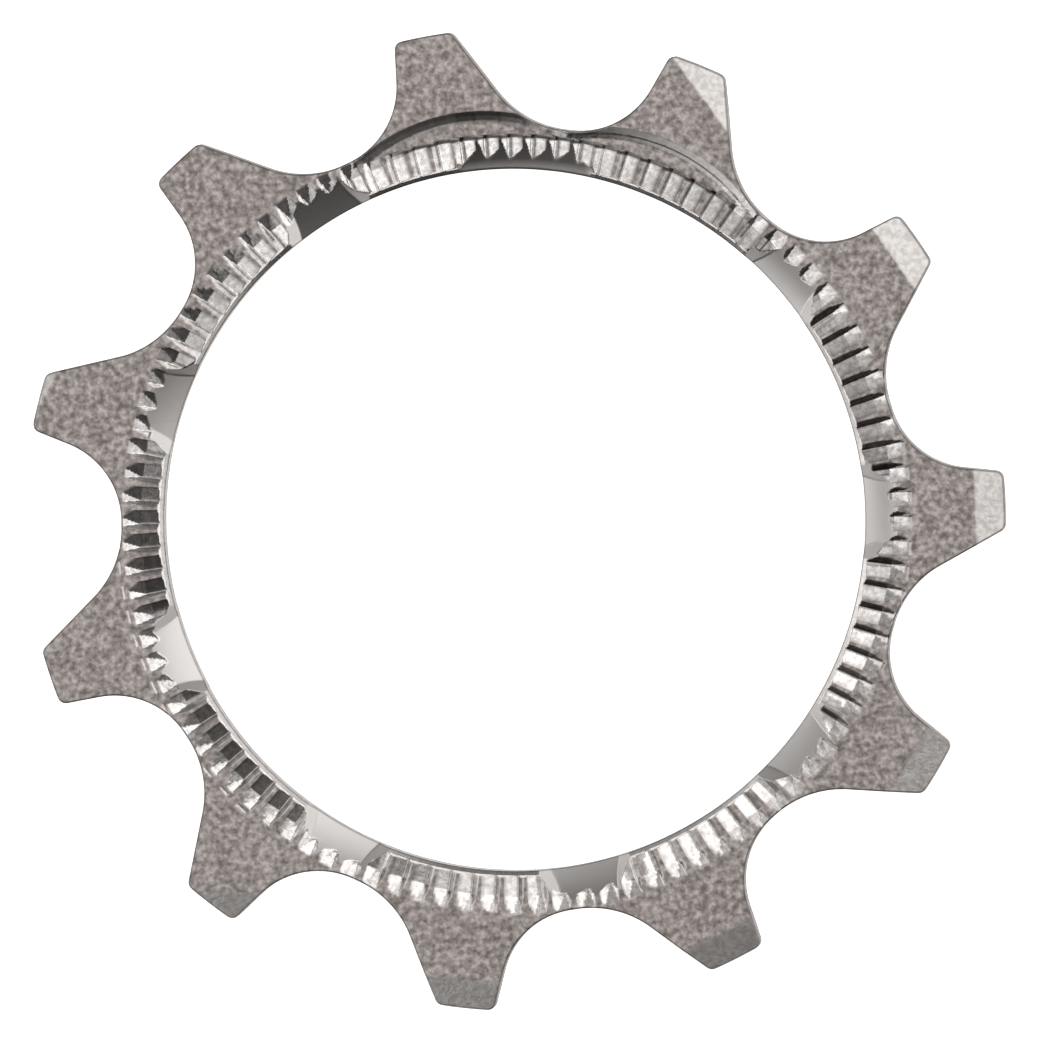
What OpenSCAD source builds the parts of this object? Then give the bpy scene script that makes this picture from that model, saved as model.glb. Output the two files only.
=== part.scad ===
// Smallest cog of a bicycle cassette, forged and coined in one piece: a toothed
// plate, a spacer shoulder with spline tabs behind it, and a ratchet ring pressed
// into the front face round the bore, where the lockring bites.
// Z is the cog's axis. z = 0 is the back of the toothed plate, the front face is up.
// In a tooth's or a groove's own plan, Y points outwards and X points clockwise.

/* [Teeth] */
// Number of teeth
tooth_count = 11; // [11:1:13]
// Distance between the chain's rollers
chain_pitch = 12.7; // [12.6:0.05:12.8]
// Diameter of the chain's rollers, which the root circle clears
roller_d = 7.75; // [7.6:0.05:7.9]
// Height of the tooth tips above the pitch circle
tip_rise = 0.76; // [0.5:0.02:1]
// Thickness of the toothed plate
plate_t = 1.6; // [1.5:0.05:1.9]
// Angle of the first tooth from the X axis
tooth_turn = 2.14; // [0:0.01:30]
// Radius of the seat on the steep side of a tooth, which the chain pulls on
load_seat_r = 3.97; // [3.9:0.02:4.2]
// Radius of the seat on the slanted side of a tooth
back_seat_r = 4.74; // [4.5:0.02:5]
// Lean of the steep flank
load_lean = 7.6; // [6:0.1:10]
// Lean of the slanted flank
back_lean = 27.2; // [25:0.1:29]
// Clockwise turn of the lowest point of a gap from halfway between two teeth
gap_skew = 1.25; // [0.8:0.05:1.6]
// Angle of root circle left between the two seats of a gap
root_flat = 0.65; // [0.4:0.05:0.9]
// Rounding of the corners of a tip in plan
tip_round = 0.4; // [0.2:0.02:0.6]

/* [Coined tips] */
// Distance from the axis at which the broad tip bevels start
bevel_start_r = 21.84; // [21.6:0.02:22.4]
// Slope of the tip bevels
bevel_lean = 15; // [10:1:20]
// Distance from the axis at which the slanted bevel by the shift recess crosses
slant_start_r = 22.3; // [22:0.02:22.6]
// Turn of that slanted bevel across its tooth
slant_turn = 31; // [20:1:40]
// Distance from the axis to the small corner bevels
corner_start_r = 23.05; // [22.9:0.01:23.15]
// Height of the chamfer behind every tip
back_chamfer_h = 0.3; // [0.1:0.02:0.5]
// Distance from the axis at which that chamfer starts
back_chamfer_r = 22.2; // [22:0.02:22.8]

/* [Shift recesses] */
// Depth of the two arched recesses that let the chain swing over
shift_depth = 0.25; // [0.1:0.01:0.35]
// Radius of each arch
shift_arch_r = 9; // [8:0.1:10]
// Width of the slope down from each arch to the recess floor
shift_slope_w = 0.45; // [0.2:0.05:0.6]
// Distance from the cog's axis to the top of each arch
shift_top_r = 19.5; // [19.2:0.02:19.8]
// Angle of the first arch
shift_turn = 67.5; // [60:0.5:75]
// Angle from the first arch to the second
shift_step = 29.8; // [27:0.1:32.7]
// Distance from the axis at which the recesses stop short of the ratchet ring
shift_inner_r = 18.3; // [18.2:0.01:18.5]

/* [Ratchet ring] */
// Number of ratchet grooves
groove_count = 100; // [80:1:104]
// Angle of the first groove's valley from the X axis
groove_turn = 0.37; // [0:0.01:3.5]
// Depth of a groove in its valley
valley_depth = 0.27; // [0.2:0.01:0.35]
// Depth of the little wall at the far edge of the gentle side
heel_depth = 0.09; // [0.05:0.01:0.15]
// Width of the gentle side
gentle_w = 0.59; // [0.5:0.01:0.62]
// Width of the steep side
steep_w = 0.355; // [0.28:0.005:0.37]
// Distance from the axis at which the grooves start to run out
groove_level_r = 18.14; // [18:0.01:18.2]
// Distance from the axis at which the valleys reach the face
groove_end_r = 18.74; // [18.6:0.01:18.9]

/* [Bore and spline] */
// Diameter of the bore through the front lip
bore_d = 33.3; // [33:0.05:33.6]
// Diameter of the spline between its tabs' inner faces
tab_d = 33.7; // [33.65:0.05:34]
// Number of spline tabs, and of scallops above them
spline_count = 9; // [9:1:9]
// Angle of the first tab
spline_turn = 1.5; // [0:0.1:10]
// Width of a tab
tab_w = 4.3; // [3.6:0.1:4.8]
// Place of the broad indexing tab in the row, counted from 0
key_place = 2; // [0:1:8]
// Turn of the indexing tab from its even place
key_shift = 6.5; // [4:0.1:7]
// Extra width of the indexing tab
key_extra_w = 1.9; // [1:0.1:2]
// Diameter of the socket between the tabs
socket_d = 34.8; // [34.4:0.1:35]
// Width of the chamfer round the front of the bore
lip_chamfer_w = 0.2; // [0.05:0.01:0.25]
// Height of that chamfer
lip_chamfer_h = 0.42; // [0.2:0.01:0.45]

/* [Scallops] */
// Slope of the scallops down to the bore
scallop_lean = 26; // [20:1:28]
// Distance from the axis at which a scallop leaves the face
scallop_end_r = 18.24; // [18:0.01:18.3]
// How much nearer the bore the indexing scallop leaves the face
key_inset = 0.45; // [0.2:0.01:0.5]
// Width of a scallop at the bore
scallop_w = 4.6; // [4:0.1:4.8]
// Angle of a scallop's sides in plan
scallop_flare = 39; // [30:1:45]
// Lean of a scallop's side walls from upright
scallop_wall_lean = 25; // [10:1:30]

/* [Spacer shoulder] */
// Diameter of the shoulder behind the plate
shoulder_d = 36.4; // [36:0.1:36.6]
// Height of the shoulder, which spaces the next cog
shoulder_h = 2.14; // [1.8:0.02:2.4]
// Chamfer on the shoulder's rear edge
shoulder_chamfer = 0.25; // [0.1:0.05:0.4]

/* [Hidden] */

// How far a cutter reaches past the faces that it cuts
over = 1;
// How far a groove's cutter stands above the face
groove_clear = 0.02;
// How far the seats dip below the root circle, so that they cross it at an angle
seat_dip = 0.01;
round_fn = 180;
round_steps = 8;

pitch_turn = 360 / tooth_count;
pitch_r = chain_pitch / 2 / sin(pitch_turn / 2);
root_r = pitch_r - roller_d / 2;
tip_r = pitch_r + tip_rise;
bore_r = bore_d / 2;
seat_foot_r = root_r - seat_dip;
back_seat_turn = pitch_turn / 2 + gap_skew;
load_seat_turn = pitch_turn - root_flat - back_seat_turn;

// Teeth with the broad bevel, and the lines of the others as
// [tooth, turn across the tooth, distance from the axis]
broad_bevel_teeth = [0, 1, 8, 9, 10];
slant_bevel_tooth = 2;
corner_bevels = [[5, -14, corner_start_r], [7, 40, corner_start_r - 0.35]];

// Plan of one tooth, Y outwards along its centre line

function plan_point(r, turn) = [r * sin(turn), r * cos(turn)];
function unit_out(lean) = [sin(lean), cos(lean)];
function unit_in(lean) = [cos(lean), -sin(lean)];

load_seat_at = plan_point(seat_foot_r + load_seat_r, -load_seat_turn);
back_seat_at = plan_point(seat_foot_r + back_seat_r, back_seat_turn);
load_foot = load_seat_at + load_seat_r * unit_in(load_lean);
back_foot = back_seat_at - back_seat_r * [cos(back_lean), sin(back_lean)];

// A corner's rounding touches the flank and the tip circle from inside
function run_to_circle(start, along, r) =
    -start * along + sqrt(pow(start * along, 2) - start * start + r * r);
function round_centre(foot, along, inward) =
    let (start = foot + tip_round * inward)
    start + run_to_circle(start, along, tip_r - tip_round) * along;

load_round_at = round_centre(load_foot, unit_out(load_lean), unit_in(load_lean));
back_round_at = round_centre(back_foot, unit_out(-back_lean), -[cos(back_lean), sin(back_lean)]);
load_tip_turn = atan2(load_round_at.y, load_round_at.x);
back_tip_turn = atan2(back_round_at.y, back_round_at.x);

function arc_points(centre, r, from, to, steps) =
    [for (i = [0 : steps]) let (a = from + (to - from) * i / steps) centre + r * [cos(a), sin(a)]];

module tooth_plan() {
    difference() {
        polygon(concat(
            [[0, 0], plan_point(seat_foot_r, -load_seat_turn), load_seat_at, load_foot],
            arc_points(load_round_at, tip_round, 180 - load_lean, load_tip_turn, round_steps),
            arc_points([0, 0], tip_r, load_tip_turn, back_tip_turn, round_steps),
            arc_points(back_round_at, tip_round, back_tip_turn, back_lean, round_steps),
            [back_foot, back_seat_at, plan_point(seat_foot_r, back_seat_turn)]
        ));
        translate(load_seat_at) circle(r = load_seat_r, $fn = round_fn);
        translate(back_seat_at) circle(r = back_seat_r, $fn = round_fn);
    }
}

module at_tooth(k) {
    rotate(tooth_turn + k * pitch_turn - 90) children();
}

module toothed_plate() {
    linear_extrude(plate_t) {
        circle(r = root_r, $fn = round_fn);
        for (k = [0 : tooth_count - 1]) at_tooth(k) tooth_plan();
    }
}

module shoulder() {
    shoulder_r = shoulder_d / 2;
    translate([0, 0, shoulder_chamfer - shoulder_h])
        cylinder(r = shoulder_r, h = shoulder_h - shoulder_chamfer, $fn = round_fn);
    translate([0, 0, -shoulder_h])
        cylinder(r1 = shoulder_r - shoulder_chamfer, r2 = shoulder_r, h = shoulder_chamfer, $fn = round_fn);
}

// Block above a plane that falls outwards from a line across the tooth
module bevel_cut(start_r, turn) {
    block = 12;
    translate([0, start_r, plate_t])
        rotate(turn)
        rotate([-bevel_lean, 0, 0])
        translate([-block / 2, -block / 4, 0])
        cube([block, block, block / 4]);
}

module tip_bevels() {
    for (k = broad_bevel_teeth) at_tooth(k) bevel_cut(bevel_start_r, 0);
    at_tooth(slant_bevel_tooth) bevel_cut(slant_start_r, -slant_turn);
    for (b = corner_bevels) at_tooth(b[0]) bevel_cut(b[2], b[1]);
}

module back_tip_chamfer() {
    far_r = tip_r + over;
    far_h = back_chamfer_h * (far_r - back_chamfer_r) / (tip_r - back_chamfer_r);
    rotate_extrude($fn = round_fn)
        polygon([[back_chamfer_r, 0], [back_chamfer_r, -over], [far_r, -over], [far_r, far_h]]);
}

module shift_recesses() {
    floor_r = shift_arch_r - shift_slope_w;
    top_h = shift_depth + over;
    difference() {
        for (k = [0, 1])
            rotate(shift_turn + k * shift_step)
            translate([shift_top_r - shift_arch_r, 0, plate_t - shift_depth])
            cylinder(r1 = floor_r, r2 = floor_r + shift_slope_w * top_h / shift_depth, h = top_h, $fn = round_fn);
        cylinder(r = shift_inner_r, h = plate_t + 2 * over, $fn = round_fn);
    }
}

// Everything above one groove: a flat V whose valley climbs out to the face. The
// gentle side climbs clockwise to its heel and the steep side climbs the other way
module groove() {
    top = valley_depth + groove_clear;
    heel = valley_depth - heel_depth;
    climb = valley_depth / (groove_end_r - groove_level_r);
    steep_x = -steep_w * top / valley_depth;
    inner_y = bore_r - over / 2;
    level_y = groove_level_r;
    translate([0, 0, plate_t - valley_depth])
        polyhedron(
            points = [
                [0, inner_y, 0], [gentle_w, inner_y, heel], [gentle_w, inner_y, top], [steep_x, inner_y, top],
                [0, level_y, 0], [gentle_w, level_y, heel], [steep_x, level_y, top],
                [0, level_y + top / climb, top], [gentle_w, level_y + (top - heel) / climb, top]
            ],
            faces = [
                [3, 2, 1, 0], [0, 1, 5, 4], [4, 5, 8, 7], [1, 2, 8, 5], [0, 4, 6, 3], [4, 7, 6], [2, 3, 6, 7, 8]
            ]
        );
}

module ratchet_grooves() {
    for (k = [0 : groove_count - 1])
        rotate(groove_turn + k * 360 / groove_count - 90) groove();
}

// One side of a scallop: everything inside a leaning wall
module scallop_side(half_w) {
    block = 10;
    translate([half_w, bore_r, plate_t])
        rotate(scallop_flare)
        rotate([0, scallop_wall_lean, 0])
        translate([-block, -block / 2, -block / 2])
        cube(block);
}

module scallop(half_w, end_r) {
    slope = tan(scallop_lean);
    intersection() {
        translate([0, 0, plate_t - over])
            cylinder(r1 = end_r - over / slope, r2 = end_r + over / 2 / slope, h = 1.5 * over, $fn = round_fn);
        scallop_side(half_w);
        mirror([1, 0, 0]) scallop_side(half_w);
    }
}

function is_key(k) = k == key_place;
function tab_turn(k) = spline_turn + k * 360 / spline_count + (is_key(k) ? key_shift : 0);
function tab_extra(k) = is_key(k) ? key_extra_w : 0;

module scallops() {
    for (k = [0 : spline_count - 1])
        rotate(tab_turn(k) - 90)
        scallop((scallop_w + tab_extra(k)) / 2, scallop_end_r - (is_key(k) ? key_inset : 0));
}

module spline_socket() {
    translate([0, 0, -shoulder_h - over])
        linear_extrude(shoulder_h + over) {
            difference() {
                circle(r = socket_d / 2, $fn = round_fn);
                for (k = [0 : spline_count - 1])
                    rotate(tab_turn(k) - 90)
                    translate([-(tab_w + tab_extra(k)) / 2, bore_r - over])
                    square([tab_w + tab_extra(k), socket_d / 2 - bore_r + 2 * over]);
            }
            circle(r = tab_d / 2, $fn = round_fn);
        }
}

module bore() {
    translate([0, 0, -shoulder_h - over])
        cylinder(r = bore_r, h = shoulder_h + plate_t + 2 * over, $fn = round_fn);
    translate([0, 0, plate_t - lip_chamfer_h])
        cylinder(r1 = bore_r, r2 = bore_r + 2 * lip_chamfer_w, h = 2 * lip_chamfer_h, $fn = round_fn);
}

module cog() {
    color([0.56, 0.54, 0.52])
    difference() {
        union() {
            toothed_plate();
            shoulder();
        }
        bore();
        spline_socket();
        scallops();
        shift_recesses();
        tip_bevels();
        back_tip_chamfer();
        ratchet_grooves();
    }
}

cog();
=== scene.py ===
"""The looks of a bicycle cassette cog that lies on a pale floor, seen from nearly straight above.

One closed mesh stands for the cog: a fine grid over the ratchet ring, rows along the outline that
round its edges, and a filling of triangles between them. Sizes are in millimetres and angles in
degrees, as in the part itself, until build_mesh turns the sizes into metres. Z is the cog's axis,
its front face is up, and angles run counter-clockwise from +X.
"""

import math

import bpy
import numpy as np
from mathutils import Matrix, Vector
from mathutils.geometry import delaunay_2d_cdt


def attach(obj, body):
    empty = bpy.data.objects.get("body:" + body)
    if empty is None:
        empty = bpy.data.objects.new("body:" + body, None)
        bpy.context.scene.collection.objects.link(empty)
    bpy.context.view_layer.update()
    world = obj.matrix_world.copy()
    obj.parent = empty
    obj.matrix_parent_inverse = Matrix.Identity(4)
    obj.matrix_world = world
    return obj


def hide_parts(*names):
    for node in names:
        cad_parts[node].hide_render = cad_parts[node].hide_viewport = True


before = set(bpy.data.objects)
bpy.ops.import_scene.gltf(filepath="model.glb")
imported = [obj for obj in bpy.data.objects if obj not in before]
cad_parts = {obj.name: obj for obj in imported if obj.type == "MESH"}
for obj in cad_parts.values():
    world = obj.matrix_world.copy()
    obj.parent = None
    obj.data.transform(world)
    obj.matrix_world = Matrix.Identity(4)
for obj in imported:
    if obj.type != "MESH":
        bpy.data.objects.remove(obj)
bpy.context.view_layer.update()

MM = 0.001
SEED = 11

# Teeth
TOOTH_COUNT = 11
CHAIN_PITCH = 12.7
ROLLER_D = 7.75
TIP_RISE = 0.76
PLATE_T = 1.6
TOOTH_TURN = 2.14
LOAD_SEAT_R = 3.97
BACK_SEAT_R = 4.74
LOAD_LEAN = 7.6
BACK_LEAN = 27.2
GAP_SKEW = 1.25
ROOT_FLAT = 0.65
TIP_ROUND = 0.4
PITCH_TURN = 360 / TOOTH_COUNT
PITCH_R = CHAIN_PITCH / 2 / math.sin(math.radians(PITCH_TURN / 2))
ROOT_R = PITCH_R - ROLLER_D / 2
TIP_R = PITCH_R + TIP_RISE

# Coined bevels: each one's tooth, its turn across that tooth, and how far from the axis it starts
BEVEL_LEAN = 15
BROAD_BEVEL_TEETH = (0, 1, 8, 9, 10)
BROAD_BEVEL_R = 21.84
BEVELS = [(tooth, 0, BROAD_BEVEL_R) for tooth in BROAD_BEVEL_TEETH]
BEVELS += [(2, -31, 22.3), (5, -14, 23.05), (7, 40, 22.7)]
# The part of a tooth's plan that its bevel may reach
TOOTH_HALF_W = 5
TOOTH_FOOT_R = 18
BACK_CHAMFER_H = 0.3
BACK_CHAMFER_R = 22.2

# Shift recesses
SHIFT_DEPTH = 0.25
SHIFT_ARCH_R = 9
SHIFT_TOP_R = 19.5
SHIFT_TURNS = (67.5, 97.3)
SHIFT_INNER_R = 18.3
# Each recess's fall from its arch inwards: how far in, and how deep there
SHIFT_FALL = (
    ((0, 0.03, 0.33, 0.40, 0.55, 0.61), (0, 0.008, 0.105, 0.165, 0.213, 0.25)),
    ((0, 0.03, 0.22, 0.45, 0.66), (0, 0.012, 0.125, 0.215, 0.25)),
)
# The stretch of the ratchet ring beside the recesses: its middle, and its reach either way
RECESS_TURN = 82
RECESS_SPREAD = 29

# Ratchet ring. Each groove is measured from its valley, the gentle side clockwise of it
GROOVE_COUNT = 100
GROOVE_STEP = 360 / GROOVE_COUNT
GROOVE_TURN = 0.58
VALLEY_DEPTH = 0.27
HEEL_DEPTH = 0.07
GENTLE_W = 0.655
STEEP_W = 0.29
GROOVE_MIDDLE = (GENTLE_W - STEEP_W) / 2
RING_MIDDLE_R = 17.5
# Rounding of a groove's valley, the same where a scallop cuts the groove, and their transition
VALLEY_ROUND = 0.012
CUT_VALLEY_ROUND = 0.085
CUT_FADE = 0.6
# Ramps at the grooves' outer ends, and how much later they start beside the recesses
LEVEL_R = 17.88
GROOVE_END_R = 18.74
RECESS_DELAY = 0.22
RECESS_FADE = 6
# The die sat a little off centre: how far it moved the ramps' inner and outer ends, towards where
DIE_SHIFT = (0.13, 0.07)
DIE_TURN = 20
# How fast a ramp fills the valley's foot, as a slope
RAMP_FILL = 0.12
# How unlike the grooves are: the spread of their depths, and of where their ramps start
WEAR = (0.006, 0.03)
groove_wear = np.random.default_rng(SEED).normal(0, 1, (GROOVE_COUNT, 2)) * WEAR
# Small dents that the die left just outside the grooves, round two places of the ring
DENT_R = (18.78, 18.81, 18.95)
DENT_SIDES = (-0.055, 0.625)
DENT_SIDE_W = 0.05
DENT_DEPTH = 0.06
DENT_TURNS = ((0, 24), (204, 26))
DENT_FADE = 4
# How much of a dent's depth changes for each millimetre that its groove is deeper
DENT_WEAR = 40

# Bore, spline and scallops, one of them the broad one
BORE_R = 16.65
TAB_R = 16.85
SOCKET_R = 17.4
TAB_COUNT = 9
TAB_TURN = 1.5
TAB_W = 4.3
KEY_PLACE = 2
KEY_SHIFT = 6.5
KEY_TAB_W = 6.2
# The lip's fall to the bore: how far outside the bore, and how deep there
LIP_FALL = ((0, 0.2, 0.3), (0.42, 0.27, 0))
SCALLOP_W = 5.2
SCALLOP_END_R = 18.24
SCALLOP_LEAN = 26
SCALLOP_HOLLOW = 0.06
KEY_SCALLOP_W = 6.8
KEY_SCALLOP_END_R = 18.1
KEY_LEAN = 14.5
KEY_HOLLOW = 0.03
SCALLOP_FLARE = 39
SCALLOP_WALL_LEAN = 45

# Shoulder
SHOULDER_R = 18.2
SHOULDER_H = 2.14
SHOULDER_CHAMFER = 0.25

# Edges: how far each row lies inside the outline, and the rounding of the front and back edges
FRONT_ROWS = (0.0, 0.012, 0.035, 0.065, 0.1)
FRONT_ROUND = 0.1
BACK_ROWS = (0.0, 0.015, 0.05)
BACK_ROUND = 0.05
WALL_ROWS = 3
OUTLINE_STEP = 0.15
SOFT_EDGE = 0.03

# Zones of the finish: the height over which one turns into the next, how polished the recesses'
# walls and the back are, and how much the lip counts as cut
BORDER_H = 0.03
RECESS_TOP_H = 0.02
WALL_POLISH = 0.9
BACK_POLISH = 0.9
LIP_CUT = 0.6

# How dark the edges are, from 0 to 1, and the width of the bore's dark edge
BORE_EDGE_W = 0.06
BORE_TOP_TONE = 0.3
WALL_TONE = 0.7
BACK_TONE = 0.5
# The heels' painted shade, dark lines along the small steps at the grooves' heels: width and tone away
# from the recesses, then beside them
HEEL_SHADE_W = (0.05, 0.10)
HEEL_SHADE_TONE = (0.6, 0.95)
HEEL_REACH = 10
HEEL_FADE = 8
# Painted shade along the crease between the grooves' ends and the recesses: a dark line which bulges
# outwards over each groove
CREASE_SHADE_R = 18.21
CREASE_SHADE_W = 0.105
CREASE_SHADE_SOFT = 0.04
CREASE_SHADE_BULGE = 0.15
CREASE_SHADE_TOP = 0.2
CREASE_SHADE_FADE = 5
# Painted shade on the steep sides round the right, and in the broad scallop below the grooves' ends
PAINTED_SHADE_TONE = 0.8
STEEP_SHADE_SPREAD = 42
STEEP_SHADE_FADE = 12
STEEP_SHADE_START = 0.03
KEY_SHADE_R = (16.8, 17.15)

# The grid's lines across a groove, on either side of its edges and between them
EDGE_GAP = 0.014
HEEL_LINES = (GENTLE_W + EDGE_GAP, GENTLE_W - EDGE_GAP)
FOOT_LINES = (EDGE_GAP - STEEP_W, -EDGE_GAP - STEEP_W)
COARSE_LINES = (0.45, 0.28, 0.13, 0.035, 0, -0.03, -0.10, -0.19)
FINE_LINES = (0.57, 0.48, 0.39, 0.31, 0.23, 0.16, 0.09, 0.035, 0, -0.03, -0.08, -0.13, -0.18, -0.23)
# Fine lines are for grooves that a scallop cuts aslant, and for the clear ramps round the left
SCALLOP_SIDE = (0.6, 2.9)
KEY_SCALLOP_SIDE = 3.7
CLEAR_RAMPS_TURN = 185
CLEAR_RAMPS_SPREAD = 28
# The grid's rows round the ring
LIP_ROWS = (0, 0.04, 0.08, 0.13, 0.185, 0.215, 0.26, 0.31)
RING_ROW = 0.055
LEAST_RING_ROW = 0.02
RING_END_R = 18.46
# Loose points of the face and the back
RAMP_END_R = 18.98
FACE_START_R = 19.05
FACE_STEP = 0.24
BACK_STEP = 0.8
FIELD_HALF = 24
POINTS_END_R = 23.4
ARCH_INSETS = (-0.03, 0.01, 0.05, 0.08, 0.14, 0.2, 0.26, 0.32, 0.355, 0.38, 0.42, 0.46, 0.53, 0.6, 0.64)
ARCH_HALF = 70
ARCH_STEP = 0.7
BEVEL_LINES = (-0.05, 0, 0.05, 0.1)
BEVEL_LINE_HALF = 3.5
BEVEL_LINE_STEP = 0.12
CHAMFER_LINES = (-0.05, 0, 0.05)
CHAMFER_STEP = 1.5
FACE_CLEAR = 0.03
BACK_CLEAR = 0.1
SHOULDER_CLEAR = 0.15
NORMAL_STEP = 0.004

# Studio, in metres. Each ring of soft panels has its panels' angle from the zenith, width, height,
# the first one's azimuth, and how bright each one is, counter-clockwise from there
PANEL_DISTANCE = 0.5
PANEL_RINGS = (
    ("high", 40, 0.16, 0.32, -6, (1.1, 1.35, 1.3, 0.85, 0.32, 0.6, 0.95, 1.2, 0.62, 0, 0.05, 0.13)),
    ("low", 77, 0.257, 0.20, 0, (1.35, 1.45, 1.1, 0.16, 0.4, 1.0, 1.4, 0.75, 0.04, 0, 0, 0.8)),
)
OVERHEAD_AZIMUTH = 28
OVERHEAD_ANGLE = 4
OVERHEAD_SIDE = 0.70
OVERHEAD_GLOW = 0.5
OVERHEAD_DISTANCE = 1.2
WORLD_COLOUR = (0.03, 0.028, 0.027, 1)
FLOOR_GLOW = 0.95
FLOOR_HALF = 3.0
# The floor lies this many millimetres below the cog's foot, so that they don't share a plane
FLOOR_GAP = 0.005

# Camera: distance in metres, then the frame's width and the point it looks at in millimetres
CAMERA_DISTANCE = 0.9
CAMERA_TILT = 5.2
CAMERA_AZIMUTH = 28.6
CAMERA_ROLL = 0.12
FRAME_W = 49.431
CAMERA_TARGET = (0.415, -0.061, PLATE_T)
SENSOR_W = 36


# Small helpers


def share(value, width):
    """0 where the value is 0 or less, 1 where it has reached the width, and straight between."""
    return np.clip(value / width, 0, 1)


def turned(x, y, turn):
    """Points of a tooth's or groove's own plan (X clockwise, Y outwards) at that angle on the cog."""
    a = math.radians(turn - 90)
    return x * math.cos(a) - y * math.sin(a), x * math.sin(a) + y * math.cos(a)


def local_plan(x, y, turn):
    """The same the other way: points of the cog in the plan of the tooth or groove at that angle."""
    a = math.radians(90 - turn)
    return x * math.cos(a) - y * math.sin(a), x * math.sin(a) + y * math.cos(a)


def soft_min(a, b, width):
    """The lower of two heights, blended over that width where they meet."""
    h = np.clip(0.5 + 0.5 * (b - a) / width, 0, 1)
    return b * (1 - h) + a * h - width * h * (1 - h)


def tooth_turn(k):
    return TOOTH_TURN + k * PITCH_TURN


def tab_turn(k):
    """Angle of a spline tab and of the scallop in front of it, the broad one off its even place."""
    return TAB_TURN + k * 360 / TAB_COUNT + KEY_SHIFT * (k == KEY_PLACE)


# Outline of the teeth


def polar(r, turn):
    """A point at that radius, its turn clockwise from +Y."""
    return np.array([r * math.sin(math.radians(turn)), r * math.cos(math.radians(turn))])


def arc(centre, r, start, end):
    """Points along an arc the short way round, its last one left to what follows."""
    a0 = math.atan2(*(start - centre)[::-1])
    a1 = math.atan2(*(end - centre)[::-1])
    a1 += 2 * math.pi * round((a0 - a1) / (2 * math.pi))
    fewest = 4
    steps = max(fewest, math.ceil(abs(a1 - a0) * r / OUTLINE_STEP))
    a = np.linspace(a0, a1, steps, endpoint=False)
    return np.c_[centre[0] + r * np.cos(a), centre[1] + r * np.sin(a)]


def line(start, end):
    """Points along a straight edge, its last one left to what follows."""
    steps = math.ceil(np.linalg.norm(end - start) / OUTLINE_STEP)
    return start + np.linspace(0, 1, steps, endpoint=False)[:, None] * (end - start)


def tooth_outline():
    """One tooth from the middle of the gap on its clockwise side to the next gap's."""
    back_turn = PITCH_TURN / 2 + GAP_SKEW
    load_turn = PITCH_TURN - ROOT_FLAT - back_turn
    load_at = polar(ROOT_R + LOAD_SEAT_R, -load_turn)
    back_at = polar(ROOT_R + BACK_SEAT_R, back_turn)
    load_up = polar(1, LOAD_LEAN)
    back_up = polar(1, -BACK_LEAN)
    load_in = np.array([load_up[1], -load_up[0]])
    back_in = np.array([-back_up[1], back_up[0]])
    load_foot = load_at + LOAD_SEAT_R * load_in
    back_foot = back_at + BACK_SEAT_R * back_in

    def round_centre(foot, up, inward):
        start = foot + TIP_ROUND * inward
        along = start @ up
        return start + (math.sqrt(along**2 - start @ start + (TIP_R - TIP_ROUND) ** 2) - along) * up

    load_round = round_centre(load_foot, load_up, load_in)
    back_round = round_centre(back_foot, back_up, back_in)
    centre = np.zeros(2)
    load_tip = load_round * TIP_R / np.linalg.norm(load_round)
    back_tip = back_round * TIP_R / np.linalg.norm(back_round)
    load_top = load_round - TIP_ROUND * load_in
    back_top = back_round - TIP_ROUND * back_in
    return np.concatenate([
        arc(centre, ROOT_R, polar(ROOT_R, back_turn + ROOT_FLAT), polar(ROOT_R, back_turn)),
        arc(back_at, BACK_SEAT_R, polar(ROOT_R, back_turn), back_foot),
        line(back_foot, back_top),
        arc(back_round, TIP_ROUND, back_top, back_tip),
        arc(centre, TIP_R, back_tip, load_tip),
        arc(load_round, TIP_ROUND, load_tip, load_top),
        line(load_top, load_foot),
        arc(load_at, LOAD_SEAT_R, load_foot, polar(ROOT_R, -load_turn)),
    ])


def cog_outline():
    """The whole outline counter-clockwise, and the direction into the metal at each point."""
    tooth = tooth_outline()
    turns = [tooth_turn(k) for k in range(TOOTH_COUNT)]
    points = np.concatenate([np.c_[turned(tooth[:, 0], tooth[:, 1], t)] for t in turns])
    along = np.roll(points, -1, 0) - np.roll(points, 1, 0)
    along /= np.linalg.norm(along, axis=1)[:, None]
    return points, np.c_[-along[:, 1], along[:, 0]]


def depth_inside(points, outline, inward):
    """How far each point lies inside the outline."""
    depth = np.empty(len(points))
    chunk = 2000
    for i in range(0, len(points), chunk):
        away = points[i:i + chunk, None, :] - outline[None, :, :]
        near = (away**2).sum(2).argmin(1)
        rows = np.arange(len(near))
        depth[i:i + chunk] = (away[rows, near] * inward[near]).sum(1)
    return depth


# Heights of the front


def groove_plan(x, y):
    """Points in the plan of the groove that each lies nearest to, and that groove's number."""
    r = np.hypot(x, y)
    angle = np.degrees(np.arctan2(y, x)) - GROOVE_TURN
    place = np.round((angle + math.degrees(GROOVE_MIDDLE / RING_MIDDLE_R)) / GROOVE_STEP)
    off = np.radians(angle - place * GROOVE_STEP)
    return -r * np.sin(off), r * np.cos(off), place.astype(int) % GROOVE_COUNT


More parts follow.
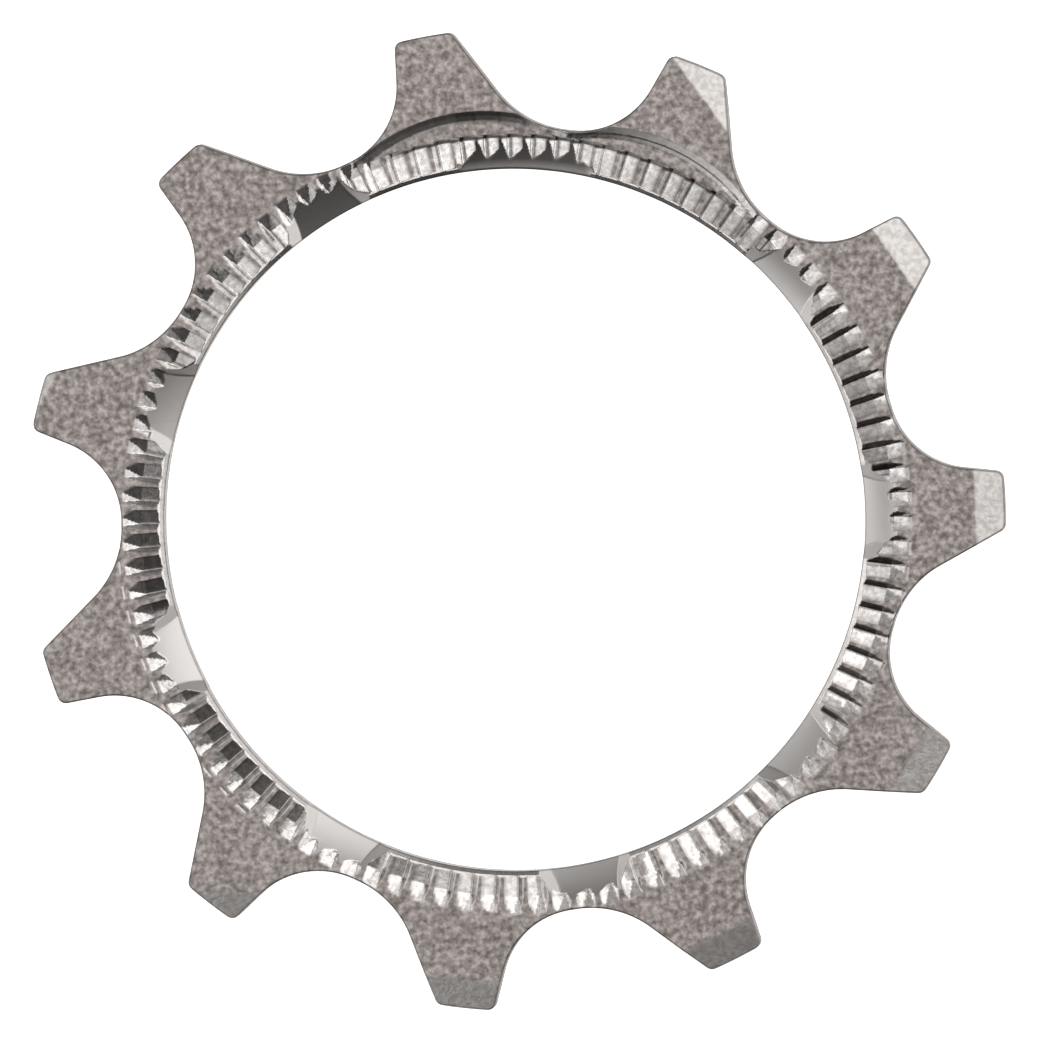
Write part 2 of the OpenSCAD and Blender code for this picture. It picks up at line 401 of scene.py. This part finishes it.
def ratchet_height(x, y):
    """Height of the grooves' floors, far above the face where there is none."""
    gx, gy, index = groove_plan(x, y)
    deeper = groove_wear[index, 0]
    later = groove_wear[index, 1]
    turn = index * GROOVE_STEP + GROOVE_TURN
    by_recess = share(RECESS_SPREAD - np.abs(turn - RECESS_TURN), RECESS_FADE)
    swing = np.cos(np.radians(turn - DIE_TURN))
    level = LEVEL_R + later + RECESS_DELAY * by_recess + DIE_SHIFT[0] * swing
    end = GROOVE_END_R + DIE_SHIFT[1] * swing
    up = np.maximum(0, gy - level)
    gentle_slope = (VALLEY_DEPTH - HEEL_DEPTH) / GENTLE_W
    sides = np.maximum(-gx * VALLEY_DEPTH / STEEP_W, gx * gentle_slope)
    rounding = VALLEY_ROUND + (CUT_VALLEY_ROUND - VALLEY_ROUND) * scallop_share(x, y)
    sides = np.sqrt(sides**2 + rounding**2) - rounding + VALLEY_ROUND
    sides = np.maximum(sides, RAMP_FILL * up)
    ramp = (VALLEY_DEPTH / (end - level) - RAMP_FILL) * up
    floor = PLATE_T - VALLEY_DEPTH - deeper + sides + ramp
    return np.where(gx > GENTLE_W, PLATE_T + 1, floor)


def scallop_plan(x, y, k):
    """Points in the plan of scallop k, and half of that scallop's width at the bore."""
    lx, ly = local_plan(x, y, tab_turn(k))
    return lx, ly, (KEY_SCALLOP_W if k == KEY_PLACE else SCALLOP_W) / 2


def scallop_share(x, y):
    """1 in front of a scallop, 0 away from it."""
    nearest = np.zeros(len(x))
    for k in range(TAB_COUNT):
        lx, ly, half = scallop_plan(x, y, k)
        near = share(half + CUT_FADE / 2 - np.abs(lx), CUT_FADE)
        nearest = np.where(ly > 0, np.maximum(nearest, near), nearest)
    return nearest


def scallop_height(x, y):
    """Height of the nine scallops' cones and leaning side walls."""
    r = np.hypot(x, y)
    height = np.full(len(x), PLATE_T + 1.0)
    flare = math.radians(SCALLOP_FLARE)
    wall_slope = 1 / math.tan(math.radians(SCALLOP_WALL_LEAN))
    for k in range(TAB_COUNT):
        lx, ly, half = scallop_plan(x, y, k)
        key = k == KEY_PLACE
        hollow = KEY_HOLLOW if key else SCALLOP_HOLLOW
        slope = math.tan(math.radians(KEY_LEAN if key else SCALLOP_LEAN))
        end_r = KEY_SCALLOP_END_R if key else SCALLOP_END_R
        inner = (r - BORE_R) / (end_r - BORE_R)
        cone = PLATE_T - (end_r - r) * slope - hollow * np.maximum(0, 4 * inner * (1 - inner))
        past = (np.abs(lx) - half) * math.cos(flare) + (ly - BORE_R) * math.sin(flare)
        wall = PLATE_T + past * wall_slope
        high = -soft_min(-cone, -wall, SOFT_EDGE)
        height = np.where(ly > 0, np.minimum(height, high), height)
    return height


def dent_depth(x, y):
    """Depth of the small dents outside the grooves, away from the shift recesses."""
    gx, gy, index = groove_plan(x, y)
    deep = np.interp(gy, DENT_R, (0, DENT_DEPTH, 0)) * (1 + DENT_WEAR * groove_wear[index, 0])
    turn = np.degrees(np.arctan2(y, x))
    near = np.zeros(len(x))
    for centre, spread in DENT_TURNS:
        off = np.abs((turn - centre + 180) % 360 - 180)
        near = np.maximum(near, share(spread - off, DENT_FADE))
    deep = np.clip(deep, 0, DENT_DEPTH) * near
    deep *= share(gx - DENT_SIDES[0], DENT_SIDE_W) * share(DENT_SIDES[1] - gx, DENT_SIDE_W)
    return np.where(recess_depth(x, y) > 0, 0, deep)


def bevel_height(x, y):
    """Height of the bevels that are coined on the tips."""
    slope = math.tan(math.radians(BEVEL_LEAN))
    height = np.full(len(x), PLATE_T + 1.0)
    for tooth, turn, start_r in BEVELS:
        lx, ly = local_plan(x, y, tooth_turn(tooth))
        a = math.radians(turn)
        past = (ly - start_r) * math.cos(a) - lx * math.sin(a)
        near = (np.abs(lx) < TOOTH_HALF_W) & (ly > TOOTH_FOOT_R)
        height = np.where(near, np.minimum(height, PLATE_T - past * slope), height)
    return height


def recess_depth(x, y):
    """Depth of the two arched recesses, with their outer walls as short slopes."""
    deep = np.zeros(len(x))
    for turn, fall in zip(SHIFT_TURNS, SHIFT_FALL):
        cx, cy = turned(0, SHIFT_TOP_R - SHIFT_ARCH_R, turn)
        deep = np.maximum(deep, np.interp(SHIFT_ARCH_R - np.hypot(x - cx, y - cy), *fall))
    return np.where(np.hypot(x, y) > SHIFT_INNER_R, deep, 0)


def dark_share(x, y, smooth, cut):
    """How dark the front's lines are: the bore's edge, and the painted shade at the heels, along the
    crease at the grooves' ends, on the steep sides and in the broad scallop.
    """
    r = np.hypot(x, y)
    turn = np.degrees(np.arctan2(y, x))
    gx, gy, _ = groove_plan(x, y)
    off = np.abs(turn - RECESS_TURN)
    by_recess = share(RECESS_SPREAD + HEEL_REACH - off, HEEL_FADE)
    # Painted shade along the small step at each groove's heel, wider and darker beside the recesses
    heel_shade_w = HEEL_SHADE_W[0] + (HEEL_SHADE_W[1] - HEEL_SHADE_W[0]) * by_recess
    heel_shade_tone = HEEL_SHADE_TONE[0] + (HEEL_SHADE_TONE[1] - HEEL_SHADE_TONE[0]) * by_recess
    heel_shade = heel_shade_tone * share(heel_shade_w - np.abs(gx - GENTLE_W), heel_shade_w)
    # Painted shade on the grooves' steep sides, only round the right
    steep = share(-gx, STEEP_SHADE_START) * (gx > -STEEP_W) * share(STEEP_SHADE_SPREAD - np.abs(turn), STEEP_SHADE_FADE)
    groove_shade = np.maximum(heel_shade, PAINTED_SHADE_TONE * steep) * smooth * (cut < 0.5)

    bore_edge = share(BORE_EDGE_W - (r - BORE_R), BORE_EDGE_W)
    # Painted shade along the crease where the grooves' ends meet the recesses
    crease_shade_off = np.abs(gy - CREASE_SHADE_R + CREASE_SHADE_BULGE * (gx - CREASE_SHADE_TOP) ** 2)
    crease_shade = share(RECESS_SPREAD - off, CREASE_SHADE_FADE) * share(CREASE_SHADE_W - crease_shade_off, CREASE_SHADE_SOFT)
    # Painted shade on the cut parts of the broad scallop, growing from just outside the bore
    lx, ly, half = scallop_plan(x, y, KEY_PLACE)
    in_key = (np.abs(lx) < half) & (ly > 0)
    key_scallop_shade = PAINTED_SHADE_TONE * np.interp(r, KEY_SHADE_R, (0, 1)) * cut * smooth * in_key
    return np.maximum.reduce([bore_edge, groove_shade, crease_shade, key_scallop_shade])


def front_height(x, y):
    """Height of the front at each point, how far it belongs to each zone of the finish, and how dark its
    dark edges and painted shade make it.
    """
    recess = recess_depth(x, y)
    face = PLATE_T - recess
    dent = dent_depth(x, y)
    bevel = bevel_height(x, y)
    groove = ratchet_height(x, y)
    scallop = scallop_height(x, y)
    lip = PLATE_T - np.interp(np.hypot(x, y) - BORE_R, *LIP_FALL)
    pressed = np.minimum(np.minimum(groove, scallop), lip)
    height = soft_min(soft_min(face, bevel, SOFT_EDGE), pressed, SOFT_EDGE)
    height = np.minimum(height - dent, PLATE_T)
    wall = share(recess, RECESS_TOP_H) * share(SHIFT_DEPTH - recess, BORDER_H)
    smooth = share(face + dent - np.minimum(pressed, face), BORDER_H)
    smooth = np.maximum(smooth, WALL_POLISH * wall)
    coined = share(face - np.minimum(bevel, face), BORDER_H)
    cut = np.maximum(share(groove - scallop, BORDER_H), LIP_CUT * share(groove - lip, BORDER_H))
    dark = dark_share(x, y, smooth, cut)
    return height, {"smooth_zone": smooth, "coined_zone": coined, "cut_zone": cut, "dark_edge_and_painted_shade": dark}


def front_normals(x, y):
    """Directions that the front faces at those points."""
    e = NORMAL_STEP
    across = front_height(x + e, y)[0] - front_height(x - e, y)[0]
    up = front_height(x, y + e)[0] - front_height(x, y - e)[0]
    normals = np.c_[-across, -up, np.full(len(x), 2 * e)]
    return normals / np.linalg.norm(normals, axis=1)[:, None]


def edge_drop(depth, radius):
    """How far a rounded edge has fallen away at that depth inside the outline."""
    d = np.clip(depth, 0, radius)
    return radius - np.sqrt(radius**2 - (radius - d) ** 2)


def back_height(p):
    """Height of the plate's back, which is chamfered behind the tips."""
    past = np.maximum(0, np.hypot(p[:, 0], p[:, 1]) - BACK_CHAMFER_R)
    return BACK_CHAMFER_H * past / (TIP_R - BACK_CHAMFER_R)


# The mesh


class Mesh:
    """Vertices and faces that are gathered row by row."""

    def __init__(self):
        self.vertices = []
        self.normals = []
        self.zones = {"smooth_zone": [], "coined_zone": [], "cut_zone": [], "dark_edge_and_painted_shade": []}
        self.faces = []
        self.count = 0

    def add(self, x, y, z, normals=None, zones=None):
        """Adds vertices and returns their numbers."""
        x = np.asarray(x, float)
        self.vertices.append(np.c_[x, y, np.broadcast_to(z, x.shape)])
        self.normals.append(np.zeros((len(x), 3)) if normals is None else normals)
        for name, values in self.zones.items():
            values.append(np.broadcast_to((zones or {}).get(name, 0.0), x.shape))
        start = self.count
        self.count += len(x)
        return np.arange(start, self.count)

    def add_front(self, x, y):
        """Adds vertices on the front at their height there."""
        z, zones = front_height(x, y)
        return self.add(x, y, z, front_normals(x, y), zones)

    def strip(self, lower, upper, where=slice(None)):
        """Quads between two closed rows that run counter-clockwise seen from their front."""
        quads = np.c_[lower, np.roll(lower, -1), np.roll(upper, -1), upper]
        self.faces += quads[where].tolist()

    def fill(self, outer, inner, loose, upwards):
        """Triangles between a closed outer row and a closed inner row, through loose points."""
        numbers = np.concatenate([outer, inner, loose]).astype(int)
        every = np.concatenate(self.vertices)
        plan = [Vector(p) for p in every[numbers][:, :2]]
        n, m = len(outer), len(inner)
        edges = [(i, (i + 1) % n) for i in range(n)]
        edges += [(n + i, n + (i + 1) % m) for i in range(m)]
        tolerance = 1e-7
        _, _, triangles, origins, _, _ = delaunay_2d_cdt(plan, edges, [], 1, tolerance)
        origins = [o[0] for o in origins]
        for tri in triangles:
            a, b, c = (origins[i] for i in tri)
            if n <= min(a, b, c) and max(a, b, c) < n + m:
                continue
            p, q, s = plan[a], plan[b], plan[c]
            turns_left = (q - p).cross(s - p) > 0
            if turns_left != upwards:
                b, c = c, b
            self.faces.append([int(numbers[a]), int(numbers[b]), int(numbers[c])])


def needs_fine_lines(k):
    """Whether a scallop cuts groove k aslant, or its ramp is one of the clear ones."""
    turn = k * GROOVE_STEP
    if abs(turn - CLEAR_RAMPS_TURN) < CLEAR_RAMPS_SPREAD:
        return True
    for n in range(TAB_COUNT):
        away = (GROOVE_TURN + turn - tab_turn(n) + 180) % 360 - 180
        side = abs(math.radians(away) * RING_MIDDLE_R + GROOVE_MIDDLE)
        if SCALLOP_SIDE[0] < side < SCALLOP_SIDE[1] or n == KEY_PLACE and side < KEY_SCALLOP_SIDE:
            return True
    return False


def ring_columns(r):
    """Points round the ratchet ring at radius r, counter-clockwise, at the grooves' own lines."""
    angles = []
    for k in range(GROOVE_COUNT):
        valley = math.radians(GROOVE_TURN + k * GROOVE_STEP)
        lines = FINE_LINES if needs_fine_lines(k) else COARSE_LINES
        angles.append(valley - GROOVE_MIDDLE / RING_MIDDLE_R - math.radians(GROOVE_STEP) / 2)
        angles += [valley - math.asin(x / r) for x in (*HEEL_LINES, *lines, *FOOT_LINES)]
    return r * np.cos(angles), r * np.sin(angles)


def add_ring(mesh):
    """The grid over the ratchet ring. Returns its innermost and outermost rows."""
    lip = BORE_R + np.array(LIP_ROWS)
    floor = np.arange(lip[-1] + RING_ROW, RING_END_R - LEAST_RING_ROW, RING_ROW)
    rows = [mesh.add_front(*ring_columns(r)) for r in (*lip, *floor, RING_END_R)]
    for inner, outer in zip(rows, rows[1:]):
        mesh.strip(outer, inner)
    return rows[0], rows[-1]


def add_outline_rows(mesh, outline, inward):
    """Rows that round the front edge, the wall, and rows that round the back edge."""
    rows = []
    outward = np.c_[-inward, np.zeros(len(inward))]
    for d in reversed(FRONT_ROWS):
        p = outline + d * inward
        z, zones = front_height(p[:, 0], p[:, 1])
        over = 1 - d / FRONT_ROUND
        zones["dark_edge_and_painted_shade"] = math.sqrt(over)
        normals = front_normals(p[:, 0], p[:, 1]) * math.sqrt(1 - over**2) + outward * over
        rows.append(mesh.add(p[:, 0], p[:, 1], z - edge_drop(d, FRONT_ROUND), normals, zones))
    top = mesh.vertices[-1][:, 2]
    low = back_height(outline) + BACK_ROUND
    for i in range(1, WALL_ROWS):
        t = i / WALL_ROWS
        z = top * (1 - t) + low * t
        rows.append(mesh.add(outline[:, 0], outline[:, 1], z, outward, {"dark_edge_and_painted_shade": WALL_TONE}))
    for d in BACK_ROWS:
        p = outline + d * inward
        over = 1 - d / BACK_ROUND
        normals = outward * over + np.array([0, 0, -math.sqrt(1 - over**2)])
        z = back_height(p) + edge_drop(d, BACK_ROUND)
        rows.append(mesh.add(p[:, 0], p[:, 1], z, normals, {"dark_edge_and_painted_shade": math.sqrt(over)}))
    for inner, outer in zip(rows, rows[1:]):
        mesh.strip(outer, inner)
    return rows[0], rows[-1]


def well_inside(points, outline, inward, start_r, least):
    """Those of the points that lie outside a radius and more than so far inside the outline."""
    r = np.hypot(points[:, 0], points[:, 1])
    points = points[(r > start_r) & (r < POINTS_END_R)]
    return points[depth_inside(points, outline, inward) > least]


def thin_out(points, least):
    """Drops points that share a small square with an earlier one."""
    cells = np.round(points / least).astype(np.int64)
    _, first = np.unique(cells, axis=0, return_index=True)
    return points[np.sort(first)]


def front_loose_points(outline, inward):
    """Plan points of the face outside the grid: the groove ends, the teeth and their feature lines."""
    found = [np.c_[ring_columns(r)] for r in np.arange(RING_END_R + RING_ROW, RAMP_END_R, RING_ROW)]
    grid = np.arange(-FIELD_HALF, FIELD_HALF, FACE_STEP)
    gx, gy = np.meshgrid(grid, grid)
    gx = gx + (np.arange(len(grid)) % 2)[:, None] * FACE_STEP / 2
    hexes = np.c_[gx.ravel(), gy.ravel()]
    found.append(hexes[np.hypot(hexes[:, 0], hexes[:, 1]) > FACE_START_R])
    for turn in SHIFT_TURNS:
        cx, cy = turned(0, SHIFT_TOP_R - SHIFT_ARCH_R, turn)
        a = np.radians(turn + np.arange(-ARCH_HALF, ARCH_HALF, ARCH_STEP))
        for inset in ARCH_INSETS:
            r = SHIFT_ARCH_R - inset
            found.append(np.c_[cx + r * np.cos(a), cy + r * np.sin(a)])
    s = np.arange(-BEVEL_LINE_HALF, BEVEL_LINE_HALF, BEVEL_LINE_STEP)
    for tooth, turn, start_r in BEVELS:
        a = math.radians(turn)
        for past in BEVEL_LINES:
            lx = s * math.cos(a) - past * math.sin(a)
            ly = start_r + s * math.sin(a) + past * math.cos(a)
            found.append(np.c_[turned(lx, ly, tooth_turn(tooth))])
    points = np.concatenate(found)
    start_r = RING_END_R + FACE_CLEAR
    points = well_inside(points, outline, inward, start_r, FRONT_ROWS[-1] + FACE_CLEAR)
    return thin_out(points, FACE_CLEAR)


def back_loose_points(outline, inward):
    """Plan points of the plate's back between its edge and the shoulder."""
    grid = np.arange(-FIELD_HALF, FIELD_HALF, BACK_STEP)
    gx, gy = np.meshgrid(grid, grid)
    found = [np.c_[gx.ravel(), gy.ravel()]]
    a = np.radians(np.arange(0, 360, CHAMFER_STEP))
    for past in CHAMFER_LINES:
        r = BACK_CHAMFER_R + past
        found.append(np.c_[r * np.cos(a), r * np.sin(a)])
    points = np.concatenate(found)
    start_r = SHOULDER_R + SHOULDER_CLEAR
    points = well_inside(points, outline, inward, start_r, BACK_ROWS[-1] + BACK_CLEAR)
    return thin_out(points, BACK_CLEAR)


def tab_spans():
    """Start and end angle of each spline tab, in radians."""
    spans = []
    for k in range(TAB_COUNT):
        centre = math.radians(tab_turn(k))
        half = (KEY_TAB_W if k == KEY_PLACE else TAB_W) / (TAB_R + SOCKET_R)
        spans.append((centre - half, centre + half))
    return spans


def add_spline_and_shoulder(mesh, bore_row):
    """The bore's wall, the lip's underside, the tabs, the socket and the shoulder. Returns its top row."""
    top = np.concatenate(mesh.vertices)[bore_row]
    a = np.arctan2(top[:, 1], top[:, 0])

    def nearest(angle):
        return np.abs((a - angle + math.pi) % (2 * math.pi) - math.pi).argmin()

    for span in tab_spans():
        for edge in span:
            a[nearest(edge)] = edge
    c, s = np.cos(a), np.sin(a)
    tab = np.zeros(len(a), bool)
    tolerance = 1e-6
    for start, end in tab_spans():
        tab |= (a - start + tolerance) % (2 * math.pi) <= end - start + 2 * tolerance
    in_tab = tab & np.roll(tab, -1)
    for _, end in tab_spans():
        in_tab[nearest(end)] = False

    def row(r, z, tone=BACK_TONE):
        zones = {"smooth_zone": BACK_POLISH, "cut_zone": 1.0, "dark_edge_and_painted_shade": tone}
        return mesh.add(r * c, r * s, z, zones=zones)

    rim_h = 0.02
    bore_zones = {"cut_zone": 1.0, "dark_edge_and_painted_shade": BORE_TOP_TONE}
    bore_high = mesh.add(BORE_R * c, BORE_R * s, top[:, 2] - rim_h, zones=bore_zones)
    bore_low = row(BORE_R, 0.0, 1.0)
    step = row(TAB_R, 0.0)
    tab_low = row(TAB_R, -SHOULDER_H)
    socket_top = row(SOCKET_R, 0.0)
    socket_low = row(SOCKET_R, -SHOULDER_H)
    rim = row(SHOULDER_R - SHOULDER_CHAMFER, -SHOULDER_H)
    side = row(SHOULDER_R, SHOULDER_CHAMFER - SHOULDER_H)
    foot = row(SHOULDER_R, 0.0)
    mesh.strip(bore_row, bore_high)
    mesh.strip(bore_high, bore_low)
    mesh.strip(bore_low, step)
    mesh.strip(step, tab_low, in_tab)
    mesh.strip(tab_low, socket_low, in_tab)
    mesh.strip(step, socket_top, ~in_tab)
    mesh.strip(socket_top, socket_low, ~in_tab)
    tab_starts = in_tab & ~np.roll(in_tab, 1)
    tab_ends = ~in_tab & np.roll(in_tab, 1)
    mesh.faces += np.c_[step, socket_top, socket_low, tab_low][tab_starts].tolist()
    mesh.faces += np.c_[step, tab_low, socket_low, socket_top][tab_ends].tolist()
    mesh.strip(socket_low, rim)
    mesh.strip(rim, side)
    mesh.strip(side, foot)
    return foot


def build_mesh():
    """The whole cog as one closed mesh in metres."""
    mesh = Mesh()
    outline, inward = cog_outline()
    bore_row, ring_row = add_ring(mesh)
    front_row, back_row = add_outline_rows(mesh, outline, inward)
    loose = front_loose_points(outline, inward)
    mesh.fill(front_row, ring_row, mesh.add_front(loose[:, 0], loose[:, 1]), True)
    front_faces = len(mesh.faces)
    foot = add_spline_and_shoulder(mesh, bore_row)
    loose = back_loose_points(outline, inward)
    mesh.fill(back_row, foot, mesh.add(loose[:, 0], loose[:, 1], back_height(loose)), False)
    data = bpy.data.meshes.new("cog_body")
    data.from_pydata((np.concatenate(mesh.vertices) * MM).tolist(), [], mesh.faces)
    for name, values in mesh.zones.items():
        data.attributes.new(name, "FLOAT", "POINT").data.foreach_set("value", np.concatenate(values))
    data.update()
    set_normals(data, np.concatenate(mesh.normals), front_faces)
    piece = bpy.data.objects.new("cog_body", data)
    bpy.context.scene.collection.objects.link(piece)
    return piece


def set_normals(data, normals, front_faces):
    """Shades the front and the outline by their true directions, and the rest face by face."""
    flat = np.empty(len(data.polygons) * 3)
    data.polygons.foreach_get("normal", flat)
    totals = np.empty(len(data.polygons), int)
    data.polygons.foreach_get("loop_total", totals)
    corners = np.repeat(flat.reshape(-1, 3), totals, axis=0)
    vertex = np.empty(len(data.loops), int)
    data.loops.foreach_get("vertex_index", vertex)
    true = totals[:front_faces].sum()
    corners[:true] = normals[vertex[:true]]
    data.polygons.foreach_set("use_smooth", np.ones(len(data.polygons), bool))
    data.normals_split_custom_set(corners.tolist())


# Materials. Each noise has its scale per millimetre, detail and roughness

BLOTCH = (3.6, 1.5, 0.5)
GRAIN = (8.0, 2.0, 0.6)
STAIN = (0.6, 2.0, 0.5)
BLOTCH_PART = 0.75
BLASTED_TONES = (
    (0.34, (0.30, 0.26, 0.24)),
    (0.50, (0.545, 0.487, 0.46)),
    (0.66, (0.84, 0.77, 0.74)),
)
BRIGHT_TONES = ((0.36, (0.60, 0.565, 0.54)), (0.64, (0.90, 0.87, 0.85)))
TIP_TONES = ((0.38, (0.68, 0.64, 0.615)), (0.62, (0.86, 0.83, 0.80)))
CUT_COLOUR = (0.66, 0.63, 0.61, 1)
# The colour that the dark edges and the painted shade blend towards, and how far at most
DARK_COLOUR = (0.07, 0.065, 0.06, 1)
DARK_PART = 0.92
FACE_ROUGHNESS = (0.42, 0.62)
COINED_ROUGHNESS = 0.42
BRIGHT_ROUGHNESS = (0.14, 0.24)
CUT_ROUGHNESS = 0.30
BUMP_STRENGTH = 0.55
BUMP_DEPTH = 0.05
PRESSED_CALM = 0.82


class Nodes:
    """Short ways to add and join shader nodes."""

    def __init__(self, material):
        material.use_nodes = True
        self.tree = material.node_tree
        self.tree.nodes.clear()

    def add(self, kind, **values):
        node = self.tree.nodes.new("ShaderNode" + kind)
        for name, value in values.items():
            setattr(node, name, value)
        return node

    def feed(self, node, socket, value):
        """Joins another node's output to a socket, or sets the socket's own value."""
        target = node.inputs[socket]
        if isinstance(value, bpy.types.NodeSocket):
            self.tree.links.new(value, target)
        else:
            target.default_value = value

    def noise(self, coords, scale, detail, rough):
        node = self.add("TexNoise")
        self.feed(node, "Vector", coords)
        self.feed(node, "Scale", scale)
        self.feed(node, "Detail", detail)
        self.feed(node, "Roughness", rough)
        return node.outputs["Fac"]

    def ramp(self, fac, stops):
        node = self.add("ValToRGB")
        self.feed(node, "Fac", fac)
        points = node.color_ramp.elements
        while len(points) < len(stops):
            points.new(0.5)
        for point, (at, colour) in zip(points, stops):
            point.position = at
            point.color = (*colour, 1)
        return node.outputs["Color"]

    def math(self, operation, a, b):
        node = self.add("Math", operation=operation)
        self.feed(node, 0, a)
        self.feed(node, 1, b)
        return node.outputs[0]

    def weigh(self, a, b, part):
        """That part of a and the rest of b."""
        return self.math("ADD", self.math("MULTIPLY", a, part), self.math("MULTIPLY", b, 1 - part))

    def mix(self, fac, a, b):
        """Mixes two colours."""
        node = self.add("Mix", data_type="RGBA")
        self.feed(node, 0, fac)
        self.feed(node, 6, a)
        self.feed(node, 7, b)
        return node.outputs[2]

    def blend(self, fac, a, b):
        """Mixes two numbers."""
        node = self.add("Mix", data_type="FLOAT")
        self.feed(node, 0, fac)
        self.feed(node, 2, a)
        self.feed(node, 3, b)
        return node.outputs[0]

    def spread(self, fac, low, high):
        node = self.add("MapRange")
        self.feed(node, "Value", fac)
        self.feed(node, "To Min", low)
        self.feed(node, "To Max", high)
        return node.outputs["Result"]

    def attribute(self, name):
        return self.add("Attribute", attribute_name=name).outputs["Fac"]


def coined_steel():
    """Plated steel: grainy where it was blasted, smooth and bright where the die pressed it, darkened at
    its edges and with painted shade in the grooves, along the crease and in the broad scallop.
    """
    material = bpy.data.materials.new("coined_steel")
    n = Nodes(material)
    place = n.add("Mapping")
    n.feed(place, "Vector", n.add("TexCoord").outputs["Object"])
    n.feed(place, "Scale", (1 / MM, 1 / MM, 1 / MM))
    mm = place.outputs["Vector"]
    pressed = n.attribute("smooth_zone")
    coined = n.attribute("coined_zone")
    cut = n.attribute("cut_zone")
    dark = n.attribute("dark_edge_and_painted_shade")

    blotch = n.noise(mm, *BLOTCH)
    grain = n.noise(mm, *GRAIN)
    tone = n.weigh(blotch, grain, BLOTCH_PART)
    face = n.mix(coined, n.ramp(tone, BLASTED_TONES), n.ramp(blotch, TIP_TONES))
    plain = n.mix(pressed, face, n.mix(cut, n.ramp(tone, BRIGHT_TONES), CUT_COLOUR))
    # The dark edges and the painted shade darken the colour
    colour = n.mix(n.math("MULTIPLY", dark, DARK_PART), plain, DARK_COLOUR)

    rough_face = n.blend(coined, n.spread(grain, *FACE_ROUGHNESS), COINED_ROUGHNESS)
    rough_bright = n.spread(n.noise(mm, *STAIN), *BRIGHT_ROUGHNESS)
    rough = n.blend(pressed, rough_face, n.blend(cut, rough_bright, CUT_ROUGHNESS))

    strength = n.math("SUBTRACT", 1.0, n.math("MULTIPLY", pressed, PRESSED_CALM))
    bump = n.add("Bump")
    n.feed(bump, "Strength", BUMP_STRENGTH)
    n.feed(bump, "Distance", BUMP_DEPTH * MM)
    n.feed(bump, "Height", n.math("MULTIPLY", n.weigh(blotch, grain, 0.5), strength))

    shader = n.add("BsdfPrincipled")
    n.feed(shader, "Base Color", colour)
    n.feed(shader, "Metallic", 1.0)
    n.feed(shader, "Roughness", rough)
    n.feed(shader, "Normal", bump.outputs["Normal"])
    n.feed(n.add("OutputMaterial"), "Surface", shader.outputs["BSDF"])
    return material


def floor_material():
    """A matt pale floor that glows a little, so that it stays white under the cog."""
    material = bpy.data.materials.new("pale_floor")
    n = Nodes(material)
    shader = n.add("BsdfPrincipled")
    n.feed(shader, "Base Color", (0.93, 0.93, 0.93, 1))
    n.feed(shader, "Roughness", 0.9)
    n.feed(shader, "Emission Color", (1, 1, 1, 1))
    n.feed(shader, "Emission Strength", FLOOR_GLOW)
    n.feed(n.add("OutputMaterial"), "Surface", shader.outputs["BSDF"])
    return material


# The studio


def direction(azimuth, from_zenith):
    a, t = math.radians(azimuth), math.radians(from_zenith)
    return Vector((math.cos(a) * math.sin(t), math.sin(a) * math.sin(t), math.cos(t)))


def add_light(name, azimuth, from_zenith, width, height, radiance, distance):
    """A soft box at that place in the sky, with the light that its surface gives off."""
    light = bpy.data.lights.new(name, "AREA")
    light.shape = "RECTANGLE"
    light.size = width
    light.size_y = height
    light.energy = radiance * math.pi * width * height
    lamp = bpy.data.objects.new(name, light)
    away = direction(azimuth, from_zenith)
    lamp.location = away * distance
    lamp.rotation_euler = away.to_track_quat("Z", "Y").to_euler()
    bpy.context.scene.collection.objects.link(lamp)


def add_lights():
    """The rings of panels, the panel overhead and the dim world between them."""
    for name, from_zenith, width, height, start, glow in PANEL_RINGS:
        for i, radiance in enumerate(glow):
            azimuth = start + i * 360 / len(glow)
            if radiance:
                add_light(f"{name}_{i}", azimuth, from_zenith, width, height, radiance, PANEL_DISTANCE)
    side = OVERHEAD_SIDE
    add_light("overhead", OVERHEAD_AZIMUTH, OVERHEAD_ANGLE, side, side, OVERHEAD_GLOW, OVERHEAD_DISTANCE)
    world = bpy.data.worlds.new("studio")
    world.use_nodes = True
    world.node_tree.nodes["Background"].inputs["Color"].default_value = WORLD_COLOUR
    bpy.context.scene.world = world


def add_floor():
    s = FLOOR_HALF
    z = -(SHOULDER_H + FLOOR_GAP) * MM
    data = bpy.data.meshes.new("floor")
    data.from_pydata([(-s, -s, z), (s, -s, z), (s, s, z), (-s, s, z)], [], [(0, 1, 2, 3)])
    data.materials.append(floor_material())
    floor = bpy.data.objects.new("floor", data)
    bpy.context.scene.collection.objects.link(floor)


def add_camera():
    """A long lens nearly straight above, a little to the upper right of the cog's axis."""
    data = bpy.data.cameras.new("camera")
    data.sensor_width = SENSOR_W
    data.lens = SENSOR_W * CAMERA_DISTANCE / (FRAME_W * MM)
    data.clip_start = 0.01
    data.clip_end = 10
    away = direction(CAMERA_AZIMUTH, CAMERA_TILT)
    roll = math.radians(CAMERA_ROLL)
    right = Vector((math.sin(roll), math.cos(roll), 0)).cross(away).normalized()
    facing = Matrix((right, away.cross(right), away)).transposed()
    at = Vector(CAMERA_TARGET) * MM + away * CAMERA_DISTANCE
    camera = bpy.data.objects.new("camera", data)
    camera.matrix_world = Matrix.Translation(at) @ facing.to_4x4()
    bpy.context.scene.collection.objects.link(camera)
    bpy.context.scene.camera = camera


def dress_cog():
    """The cog's one piece, which stands for its CAD node."""
    piece = build_mesh()
    piece.data.materials.append(coined_steel())
    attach(piece, "root")
    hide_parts("cog")


dress_cog()
add_camera()
add_lights()
add_floor()
bpy.context.scene.view_settings.view_transform = "Standard"
